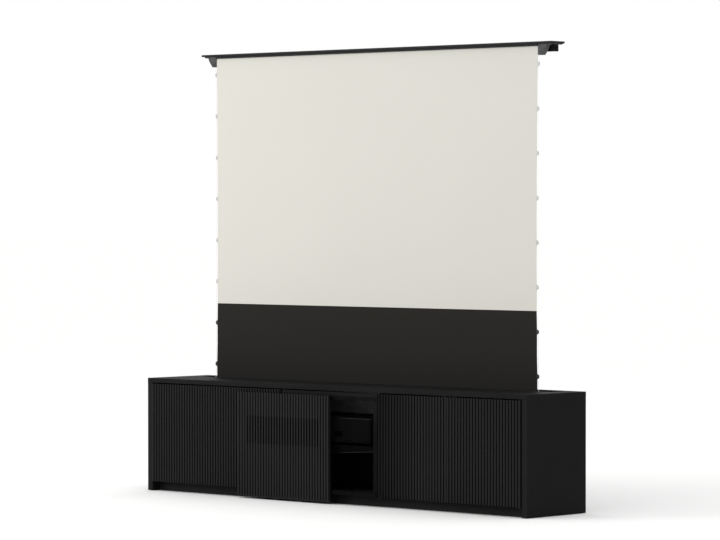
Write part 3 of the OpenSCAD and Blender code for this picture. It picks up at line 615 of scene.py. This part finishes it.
def add_tube(bm, path, radius, sides=8):
    """A round cord or rod along a path, capped at both ends."""
    rings = []
    for k, point in enumerate(path):
        before, after = path[max(k - 1, 0)], path[min(k + 1, len(path) - 1)]
        along = (after - before).normalized()
        across = along.orthogonal().normalized()
        if k:
            across = (last - along * last.dot(along)).normalized()
        last = across
        up = along.cross(across)
        ring = []
        for i in range(sides):
            turn = 2 * math.pi * i / sides
            ring.append(bm.verts.new(point + (across * math.cos(turn) + up * math.sin(turn)) * radius))
        rings.append(ring)
    for a, b in zip(rings, rings[1:]):
        bridge(bm, a, b)
    bm.faces.new(rings[0])
    bm.faces.new(rings[-1][::-1])


def cords():
    """The two tension cords: taut from bracket to tab to tab to drum, drawn in by the cloth."""
    lo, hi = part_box("tension_cords")
    radius, steps = 0.0009, 8
    knots = [lo.z] + TAB_Z[::-1] + [hi.z]
    bm = bmesh.new()
    for side in (-1, 1):
        path = []
        for z0, z1 in zip(knots, knots[1:]):
            x0, x1 = (HALF_W + EYE - bow(z) for z in (z0, z1))
            path += [Vector((side * (x0 + (x1 - x0) * t), CLOTH_Y, z0 + (z1 - z0) * t))
                     for t in (i / steps for i in range(steps))]
        path.append(Vector((side * (HALF_W + EYE - bow(hi.z)), CLOTH_Y, hi.z)))
        add_tube(bm, path, radius)
    piece = finish_mesh("side_cords", bm, "cabinet", "cord")
    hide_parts("tension_cords")
    follow_lift(piece)


def corner_brackets():
    """Grey corner brackets, tapered at the foot, with a thin wing under the lid and two screws each."""
    lo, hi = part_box("end_brackets")
    inner = HALF_W + 0.002
    depth = hi.y - lo.y
    foot = [(0, 0), (0, -0.056), (0.026, -0.056)]
    waist = [(0.0495, -0.025), (0.0505, -0.023), (0.053, -0.011), (0.056, -0.008)]
    wing = [(0.084, -0.003), (0.084, 0)]
    bm = bmesh.new()
    for side in (-1, 1):
        def place(u, v, depth, side=side):
            return Vector((side * (inner + u), lo.y + depth, hi.z + v))
        add_outline(bm, foot + waist + wing, depth, place)
    bmesh.ops.bevel(bm, geom=bm.edges[:], offset=0.0009, segments=2, profile=0.5, affect="EDGES")
    screw_inset, screw_r = 0.014, 0.0038
    for side in (-1, 1):
        for drop in (0.014, 0.042):
            add_screw(bm, "Y", (side * (inner + screw_inset), lo.y, hi.z - drop), screw_r, -1)
    piece = finish_mesh("corner_brackets", bm, "lid", "bracket_grey")
    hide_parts("end_brackets")


def lid_caps():
    """Black end caps on the beam, and a black moulded stop under each end of the lid plate."""
    lo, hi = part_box("rear_beam")
    cap_t, screw_inset, screw_r = 0.002, 0.016, 0.003
    bm = bmesh.new()
    for side in (-1, 1):
        x = side * hi.x
        outer = x + side * cap_t
        add_box(bm, (min(x, outer), lo.y + 0.001, lo.z + 0.001),
                (max(x, outer), hi.y - 0.001, hi.z - 0.0005), 0.0008)
        for y in (lo.y + screw_inset, hi.y - screw_inset):
            add_screw(bm, "X", (outer, y, (lo.z + hi.z) / 2), screw_r, side)
    finish_mesh("beam_caps", bm, "lid", "black_plastic", [BEAM_BLACK])
    bm = bmesh.new()
    reach, drop, slope, stop_t = 0.074, 0.006, 0.012, 0.009
    outline = [(0, 0), (0, -drop), (reach - slope, -drop), (reach, 0)]
    front, under = tabs_hi.y + 0.006, lid_lo.z - 0.0001
    for side in (-1, 1):
        def place(u, v, depth, side=side):
            return Vector((side * (lid_hi.x - 0.0005 - depth), front + u, under + v))
        add_outline(bm, outline, stop_t, place)
    bmesh.ops.bevel(bm, geom=bm.edges[:], offset=0.0008, segments=2, profile=0.5, affect="EDGES")
    finish_mesh("lid_stops", bm, "lid", "black_plastic")


# ---- the cabinet -------------------------------------------------------------------------------


def side_shade_skins():
    """Thin skins of darker lacquer on the outer faces of the two sides and, with a fine seam below them, on
    the top panel's ends: painted shade on the faces turned from the light.
    """
    lo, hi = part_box("side_panels")
    thick, seam = 0.0004, 0.0008
    for name, z0, z1, look in (("side_shade_skins", lo.z + 0.0005, hi.z - seam, SIDE_SHADE),
                               ("top_end_shade_skins", hi.z, cabinet_hi.z - 0.001, END_SHADE)):
        bm = bmesh.new()
        for side in (-1, 1):
            x = sorted((side * hi.x, side * (hi.x + thick)))
            add_box(bm, (x[0], lo.y + 0.001, z0), (x[1], hi.y - 0.001, z1), thick * 0.45, 1)
        finish_mesh(name, bm, "cabinet", "black_lacquer", [look])


def back_screws():
    """Pan-head screws along the edges of the back board."""
    lo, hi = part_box("back_panel")
    inset, screw_r = 0.012, 0.0036
    columns, rows = 14, 3
    bm = bmesh.new()
    for i in range(columns):
        x = lo.x + inset + (hi.x - lo.x - 2 * inset) * i / (columns - 1)
        for z in (lo.z + inset, hi.z - inset):
            add_screw(bm, "Y", (x, hi.y, z), screw_r, 1)
    for j in range(1, rows + 1):
        z = lo.z + inset + (hi.z - lo.z - 2 * inset) * j / (rows + 1)
        for x in (lo.x + inset, hi.x - inset):
            add_screw(bm, "Y", (x, hi.y, z), screw_r, 1)
    finish_mesh("back_screws", bm, "cabinet", "zinc_steel")


def vent_insert():
    """Moulded black grille insert behind the sliding panel: a sleeve in each slot, gauze across the back."""
    lo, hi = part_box("vent_panel")
    pitch, groove = 0.0191, 0.0065
    slot_w, slot_z0, slot_z1, first, last = 0.0100, 0.285, 0.427, 3, 29
    gauze_margin, gauze_rim, gauze_t, gap = 0.045, 0.014, 0.0008, 0.0001
    wall, recess, lip = 0.0004, 0.0014, 0.0005
    bm = bmesh.new()
    add_box(bm, (lo.x + gauze_margin, hi.y + gap, slot_z0 - gauze_rim),
            (hi.x - gauze_margin, hi.y + gap + gauze_t, slot_z1 + gauze_rim), 0.0003, 1)
    y0, y1 = lo.y + recess, hi.y + lip
    z0, z1 = slot_z0 + gap, slot_z1 - gap
    half = slot_w / 2 - gap / 2
    for i in range(first, last + 1):
        x = lo.x + (i + 1) * pitch - groove / 2
        a, b = x - half, x + half
        for u in (a, b - wall):
            add_box(bm, (u, y0, z0), (u + wall, y1, z1))
        for v in (z0, z1 - wall):
            add_box(bm, (a + wall, y0, v), (b - wall, y1, v + wall))
    finish_mesh("vent_insert", bm, "vent", "black_steel", [GAUZE])


SKIRT_H = 0.042        # from the projector's feet down to the skirt's lowest edge


def tray_hem():
    """Rolled steel edge along the bowed lower edge of the drawer's front skirt."""
    lo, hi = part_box("drawer_tray")
    radius = 0.0018
    shoulder, rise, bend, steps = 0.012, 0.019, 0.002, 32
    middle = (lo.x + hi.x) / 2
    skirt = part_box("projector_feet")[0].z - SKIRT_H
    half = middle - lo.x - shoulder
    path = []
    for i in range(steps + 1):
        t = 2 * i / steps - 1
        soft = math.sqrt(t * t + bend) - math.sqrt(bend)
        path.append(Vector((middle + half * t, lo.y + radius, skirt + rise * soft + 0.0004)))
    bm = bmesh.new()
    add_tube(bm, path, radius, 10)
    finish_mesh("tray_hem", bm, "drawer", "grey_aluminium", [HEM_GREY])


# ---- the projector -----------------------------------------------------------------------------

cover_lo, cover_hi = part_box("projector_cover")
base_lo, base_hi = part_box("projector_base")
window_lo, window_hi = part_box("lens_window")
button_lo, button_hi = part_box("power_button")
WALL = 0.0025
CASE_R = 0.018
WINDOW_R = 0.003
BUTTON = Vector(((button_lo.x + button_hi.x) / 2, 0, (button_lo.z + button_hi.z) / 2))
BUTTON_HOLE_R = 0.0094
PANEL_HALF = Vector((0.027, 0, 0.015))        # half size of the recess round the button


def add_shell(bm, rings, steps=6):
    """A closed skin through rounded rectangles; each ring is (x0, y0, x1, y1, radius, z)."""
    loops = []
    for x0, y0, x1, y1, radius, z in rings:
        loops.append([bm.verts.new((u, v, z)) for u, v in round_rect(x0, y0, x1, y1, radius, steps)])
    for k, ring in enumerate(loops):
        bridge(bm, ring, loops[(k + 1) % len(loops)])


def inset_ring(lo, hi, inset, z):
    """The projector's outline at a height, drawn in by inset."""
    return (lo.x + inset, lo.y + inset, hi.x - inset, hi.y - inset, max(0.001, CASE_R - inset), z)


def cut(piece, boxes, turned):
    """Openings cut through a piece: boxes as (lo, hi), and turned holes as (axis, centre, profile)."""
    bm = bmesh.new()
    for lo, hi in boxes:
        add_box(bm, lo, hi)
    for axis, centre, profile in turned:
        add_turned(bm, axis, centre, profile)
    bmesh.ops.recalc_face_normals(bm, faces=bm.faces)
    mesh = bpy.data.meshes.new("cutter")
    bm.to_mesh(mesh)
    bm.free()
    tool = bpy.data.objects.new("cutter", mesh)
    bpy.context.scene.collection.objects.link(tool)
    modifier = piece.modifiers.new("openings", "BOOLEAN")
    modifier.object = tool
    modifier.solver = "EXACT"
    depsgraph = bpy.context.evaluated_depsgraph_get()
    result = bpy.data.meshes.new_from_object(piece.evaluated_get(depsgraph))
    piece.modifiers.clear()
    piece.data = result
    piece.data.set_sharp_from_angle(angle=SHARP)
    bpy.data.objects.remove(tool)
    bpy.data.meshes.remove(mesh)


def projector_case():
    """Upper shell with a rolled top edge, its openings, and the base pan below a parting groove."""
    lo, hi = cover_lo, cover_hi
    top = hi.z
    edge = [(0.0, -0.0050), (0.0004, -0.0034), (0.0012, -0.0019),
            (0.0024, -0.0008), (0.0038, -0.0002), (0.0055, 0.0)]
    rings = [inset_ring(lo, hi, 0.0009, lo.z + 0.0006), inset_ring(lo, hi, 0.0, lo.z + 0.0016)]
    rings += [inset_ring(lo, hi, inset, top + drop) for inset, drop in edge]
    rim, chamfer = 0.001, 0.0008
    x0, y0, x1, y1 = window_lo.x, window_lo.y, window_hi.x, window_hi.y
    rings.append((x0 - rim, y0 - rim, x1 + rim, y1 + rim, WINDOW_R + rim, top))
    rings.append((x0, y0, x1, y1, WINDOW_R, top - chamfer))
    rings.append((x0, y0, x1, y1, WINDOW_R, top - WALL))
    rings += [inset_ring(lo, hi, inset + WALL, top + drop - WALL) for inset, drop in reversed(edge)]
    rings.append(inset_ring(lo, hi, WALL, lo.z + 0.0006))
    bm = bmesh.new()
    add_shell(bm, rings)
    cover = finish_mesh("projector_shell", bm, "drawer", "grey_plastic", [CASE_BLACK])
    fans_lo, fans_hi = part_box("side_grilles")
    reach = 0.01
    grille = [((x - reach, fans_lo.y, fans_lo.z), (x + reach, fans_hi.y, fans_hi.z))
              for x in (fans_lo.x, fans_hi.x)]
    centre = BUTTON + Vector((0, lo.y, 0))
    recess = 0.001
    panel = [(centre - PANEL_HALF - Vector((0, reach, 0)), centre + PANEL_HALF + Vector((0, recess, 0)))]
    hole = [("Y", centre, [(-reach, BUTTON_HOLE_R), (reach, BUTTON_HOLE_R)])]
    cut(cover, grille + panel, hole)
    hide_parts("projector_cover")

    lo, hi = base_lo, base_hi
    vent, sill = 0.12, 0.0004
    skin = [(0.0030, lo.z), (0.0008, lo.z + 0.0012), (0.0, lo.z + 0.0035), (0.0, hi.z - 0.0015),
            (0.0009, hi.z - 0.0004), (WALL, hi.z - 0.0004), (WALL, lo.z + WALL),
            (vent, lo.z + WALL), (vent, lo.z + 0.0008)]
    bm = bmesh.new()
    add_shell(bm, [inset_ring(lo, hi, inset, z) for inset, z in skin])
    plate = vent - 0.001
    add_box(bm, (lo.x + plate, lo.y + plate, lo.z + sill),
            (hi.x - plate, hi.y - plate, lo.z + WALL + sill), 0.0006)
    pan = finish_mesh("projector_pan", bm, "drawer", "black_plastic", [CASE_BLACK])
    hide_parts("projector_base")


def top_edge_highlight():
    """Thin metal bead around the top edge of the projector's shell, in a grey that stands in for the light
    on that edge: a painted highlight.
    """
    lo, hi = cover_lo, cover_hi
    z = hi.z - 0.0074
    proud, root, back, crown, half = 0.0009, 0.0002, 0.0010, 0.0016, 0.0022
    profile = [(root, -half), (-proud, -crown), (-proud, crown), (root, half), (back, half), (back, -half)]
    bm = bmesh.new()
    add_shell(bm, [inset_ring(lo, hi, inset, z + rise) for inset, rise in profile])
    finish_mesh("top_edge_highlight", bm, "drawer", "grey_aluminium", [HIGHLIGHT_GREY])


def add_ring(bm, outline, hole_radius, y0, y1):
    """A flat ring in the X-Z plane between an outline and a round hole about its middle."""
    middle = Vector((sum(u for u, _ in outline), sum(v for _, v in outline))) / len(outline)
    loops = []
    for y, shrink in ((y0, 0.0006), (y0 + 0.0004, 0.0), (y1, 0.0)):
        loop = []
        for u, v in outline:
            spoke = (Vector((u, v)) - middle).normalized()
            point = Vector((u, v)) - spoke * shrink
            loop.append(bm.verts.new((point.x, y, point.y)))
        loops.append(loop)
    for y in (y1, y0):
        loop = []
        for u, v in outline:
            spoke = (Vector((u, v)) - middle).normalized() * hole_radius
            loop.append(bm.verts.new((middle.x + spoke.x, y, middle.y + spoke.y)))
        loops.append(loop)
    for k, loop in enumerate(loops):
        bridge(bm, loop, loops[(k + 1) % len(loops)])


def button_inlay():
    """Black inlay in the recess round the power button."""
    half = PANEL_HALF - Vector((0.0005, 0, 0.0005))
    lo, hi = BUTTON - half, BUTTON + half
    outline = round_rect(lo.x, lo.z, hi.x, hi.z, 0.002, 6)
    bm = bmesh.new()
    add_ring(bm, outline, BUTTON_HOLE_R + 0.0001, cover_lo.y + 0.0002, cover_lo.y + 0.001)
    finish_mesh("button_inlay", bm, "drawer", "black_plastic", [INLAY_BLACK])


def window_frame():
    """Lip round the light's window, flush with the case, and two rows of ribs just under its top skin."""
    bm = bmesh.new()
    x0, y0, x1, y1 = window_lo.x, window_lo.y, window_hi.x, window_hi.y
    top = cover_hi.z
    section = [(0.0012, -0.0006), (0.0055, -0.0006), (0.0055, -0.0002),
               (0.0048, 0.0), (0.0018, 0.0), (0.0012, -0.0002)]
    add_shell(bm, [(x0 - u, y0 - u, x1 + u, y1 + u, WINDOW_R + u, top + v) for u, v in section])
    ribs, step, rows, row_step = 24, 0.0085, 2, 0.016
    half_w, half_l = 0.0018, 0.006
    middle = (x0 + x1) / 2
    for row in range(rows):
        y = y1 + 0.018 + row * row_step
        for i in range(ribs):
            x = middle + (i - (ribs - 1) / 2) * step
            add_box(bm, (x - half_w, y - half_l, top - 0.0006),
                    (x + half_w, y + half_l, top - 0.00005), 0.0005, 1)
    finish_mesh("window_frame", bm, "drawer", "black_plastic", [INLAY_BLACK])


# ---- the lift ----------------------------------------------------------------------------------

ARM_R = 0.015


def stadium(start, end, radius, steps=14):
    """Outline of a bar with round ends between two points in the X-Z plane."""
    along = (end - start).normalized()
    across = Vector((-along.y, along.x))
    points = []
    for centre, first in ((end, -90), (start, 90)):
        for i in range(steps + 1):
            turn = math.radians(first + 180 * i / steps)
            points.append(centre + (along * math.cos(turn) + across * math.sin(turn)) * radius)
    return points


def add_arm(bm, start, end, y0, y1):
    """A pressed arm: rounded edges, and a long recess in its front and back."""
    chamfer, depth, slope = 0.0012, 0.0016, 0.0012
    recess_from, recess_r = 0.045, ARM_R - 0.0055
    full, inner = stadium(start, end, ARM_R), stadium(start, end, ARM_R - chamfer)
    loops = []
    for y, outline in ((y0, inner), (y0 + chamfer, full), (y1 - chamfer, full), (y1, inner)):
        loops.append([bm.verts.new((p.x, y, p.y)) for p in outline])
    for a, b in zip(loops, loops[1:]):
        bridge(bm, a, b)
    along = (end - start).normalized()
    first, last = start + along * recess_from, end - along * recess_from
    for rim, sink in ((loops[0], depth), (loops[-1], -depth)):
        y = rim[0].co.y
        edge = [bm.verts.new((p.x, y, p.y)) for p in stadium(first, last, recess_r)]
        floor_loop = [bm.verts.new((p.x, y + sink, p.y)) for p in stadium(first, last, recess_r - slope)]
        for a, b in ((rim, edge), (edge, floor_loop)):
            bridge(bm, a, b)
        bm.faces.new(floor_loop)


def arms():
    """The four arms, with bosses, knee pins and their retaining caps."""
    lower_lo, lower_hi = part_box("right_lower_arm")
    upper_lo, upper_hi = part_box("right_upper_arm")
    base = Vector((lower_hi.x - ARM_R, lower_lo.z + ARM_R))
    knee = Vector((upper_lo.x + ARM_R, upper_lo.z + ARM_R))
    crown = Vector((base.x, upper_hi.z - ARM_R))
    lower_y = (lower_lo.y + 0.002, lower_lo.y + 0.020)
    upper_y = (upper_lo.y, upper_hi.y)
    pin_r = 0.006
    boss = [(-0.002, 0.0105), (-0.0018, 0.0118), (-0.0006, 0.012), (0.0004, 0.012)]
    pin = [(0, pin_r), (upper_y[1] - lower_y[1] + 0.002, pin_r)]
    cap = [(0.0005, 0.011), (0.0022, 0.011), (0.003, 0.0102),
           (0.003, 0.0036), (0.0022, 0.003), (0.0022, 0.0002)]
    for side, word in ((1, "right"), (-1, "left")):
        def at(point, side=side):
            return Vector((side * point.x, point.y))
        bm = bmesh.new()
        add_arm(bm, at(base), at(knee), *lower_y)
        x, z = at(knee)
        for y, profile in ((lower_y[0], boss), (lower_y[1] - 0.001, pin), (upper_y[1], cap)):
            add_turned(bm, "Y", (x, y, z), profile)
        lower = finish_mesh(word + "_lower_link", bm, word + "_lower_arm", "grey_aluminium")
        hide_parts(word + "_lower_arm")
        bm = bmesh.new()
        add_arm(bm, at(knee), at(crown), *upper_y)
        upper = finish_mesh(word + "_upper_link", bm, word + "_upper_arm", "grey_aluminium")
        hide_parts(word + "_upper_arm")


def spring_barrels():
    """Turned spring barrels with ribs, a flange and a hexagon tension screw."""
    lo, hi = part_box("lift_springs")
    z = (lo.z + hi.z) / 2
    flange_r, barrel_r, rib_r, ribs, rib_step = 0.019, 0.016, 0.017, 7, 0.0042
    profile = [(0, 0.0185), (0.0008, flange_r), (0.0052, flange_r), (0.006, 0.0182), (0.006, barrel_r)]
    for i in range(ribs):
        t = 0.0075 + i * rib_step
        profile += [(t, barrel_r), (t + 0.0006, rib_r), (t + 0.0026, rib_r), (t + 0.0032, barrel_r)]
    profile += [(0.0385, barrel_r), (0.0400, 0.0145), (0.0400, 0.0001)]
    hexagon = [(0.0395, 0.007), (0.0415, 0.007), (0.042, 0.0062)]
    bm = bmesh.new()
    for side in (-1, 1):
        x = side * (hi.x - flange_r)
        add_turned(bm, "Y", (x, lo.y, z), profile, 40)
        add_turned(bm, "Y", (x, lo.y, z), hexagon, 6)
    piece = finish_mesh("spring_barrels", bm, "cabinet", "zinc_steel")
    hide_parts("lift_springs")


# ---- lights, floor and camera ------------------------------------------------------------------

DOME = 0.92
OVERHEAD = 0.8
KEY = 173
KEY_PLACE = (-4.4, -5.4, 4.2)
KEY_TARGET = (-0.2, 0, 1.3)
KEY_SIZE = (3.8, 3.8)
AZIMUTH = math.radians(42.783)
PITCH = math.radians(0.94)
LENS = 180.7
CAMERA_RIGHT = 12.48
CAMERA_AHEAD = 13.25        # in front of the side panels' front edges
CAMERA_UP = 1.478


def floor():
    """A pale floor that runs far past the picture's edges."""
    bm = bmesh.new()
    bmesh.ops.create_grid(bm, x_segments=1, y_segments=1, size=150)
    mesh = bpy.data.meshes.new("floor")
    bm.to_mesh(mesh)
    bm.free()
    mat = new_material("floor", (0.85, 0.85, 0.85), 1.0, specular=0.0)
    mottle = noise(mat, object_coords(mat), 0.6, 2)
    two_tone(mat, mottle, (0.845, 0.845, 0.845), (0.855, 0.855, 0.855))
    mesh.materials.append(mat)
    plane = bpy.data.objects.new("floor", mesh)
    bpy.context.scene.collection.objects.link(plane)


def area_light(name, place, target, size, watts, color):
    """A rectangular lamp that faces a target and is not seen by the camera."""
    data = bpy.data.lights.new(name, "AREA")
    data.shape = "RECTANGLE"
    data.size, data.size_y = size
    data.energy = watts
    data.color = color
    light = bpy.data.objects.new(name, data)
    light.location = place
    light.rotation_mode = "QUATERNION"
    light.rotation_quaternion = (Vector(target) - Vector(place)).to_track_quat("-Z", "Y")
    light.visible_camera = False
    bpy.context.scene.collection.objects.link(light)


def world():
    """White backdrop for the camera, and a dimmer grey dome that lights the object."""
    studio = bpy.data.worlds.new("studio")
    studio.use_nodes = True
    tree = studio.node_tree
    backdrop = tree.nodes["Background"]
    backdrop.inputs["Color"].default_value = (1, 1, 1, 1)
    dome = tree.nodes.new("ShaderNodeBackground")
    dome.inputs["Color"].default_value = (1.0, 1.0, 0.995, 1)
    dome.inputs["Strength"].default_value = DOME
    rays = tree.nodes.new("ShaderNodeLightPath")
    mix = tree.nodes.new("ShaderNodeMixShader")
    tree.links.new(rays.outputs["Is Camera Ray"], mix.inputs["Fac"])
    tree.links.new(dome.outputs["Background"], mix.inputs[1])
    tree.links.new(backdrop.outputs["Background"], mix.inputs[2])
    tree.links.new(mix.outputs["Shader"], tree.nodes["World Output"].inputs["Surface"])
    bpy.context.scene.world = studio
    bpy.context.scene.view_settings.view_transform = "Standard"


def lights():
    """A soft overhead light that whitens the floor, and a softbox to the left of the camera."""
    overhead = bpy.data.lights.new("overhead", "SUN")
    overhead.energy = OVERHEAD
    overhead.angle = math.radians(100)
    bpy.context.scene.collection.objects.link(bpy.data.objects.new("overhead", overhead))
    area_light("softbox", KEY_PLACE, KEY_TARGET, KEY_SIZE, KEY, (1.0, 0.99, 0.97))


def camera():
    """A long lens, right of the cabinet's front and a little above its middle."""
    data = bpy.data.cameras.new("camera")
    data.sensor_width = 36
    data.lens = LENS
    data.clip_start, data.clip_end = 0.5, 400
    cam = bpy.data.objects.new("camera", data)
    side_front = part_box("side_panels")[0].y
    cam.location = (CAMERA_RIGHT, side_front - CAMERA_AHEAD, CAMERA_UP)
    level = math.cos(PITCH)
    look = Vector((-math.sin(AZIMUTH) * level, math.cos(AZIMUTH) * level, -math.sin(PITCH)))
    cam.rotation_mode = "QUATERNION"
    cam.rotation_quaternion = look.to_track_quat("-Z", "Y")
    bpy.context.scene.collection.objects.link(cam)
    bpy.context.scene.camera = cam


camera()
paint_cad_nodes()
screen()
tabs()
cords()
corner_brackets()
lid_caps()
side_shade_skins()
back_screws()
vent_insert()
tray_hem()
projector_case()
top_edge_highlight()
button_inlay()
window_frame()
arms()
spring_barrels()
floor()
world()
lights()
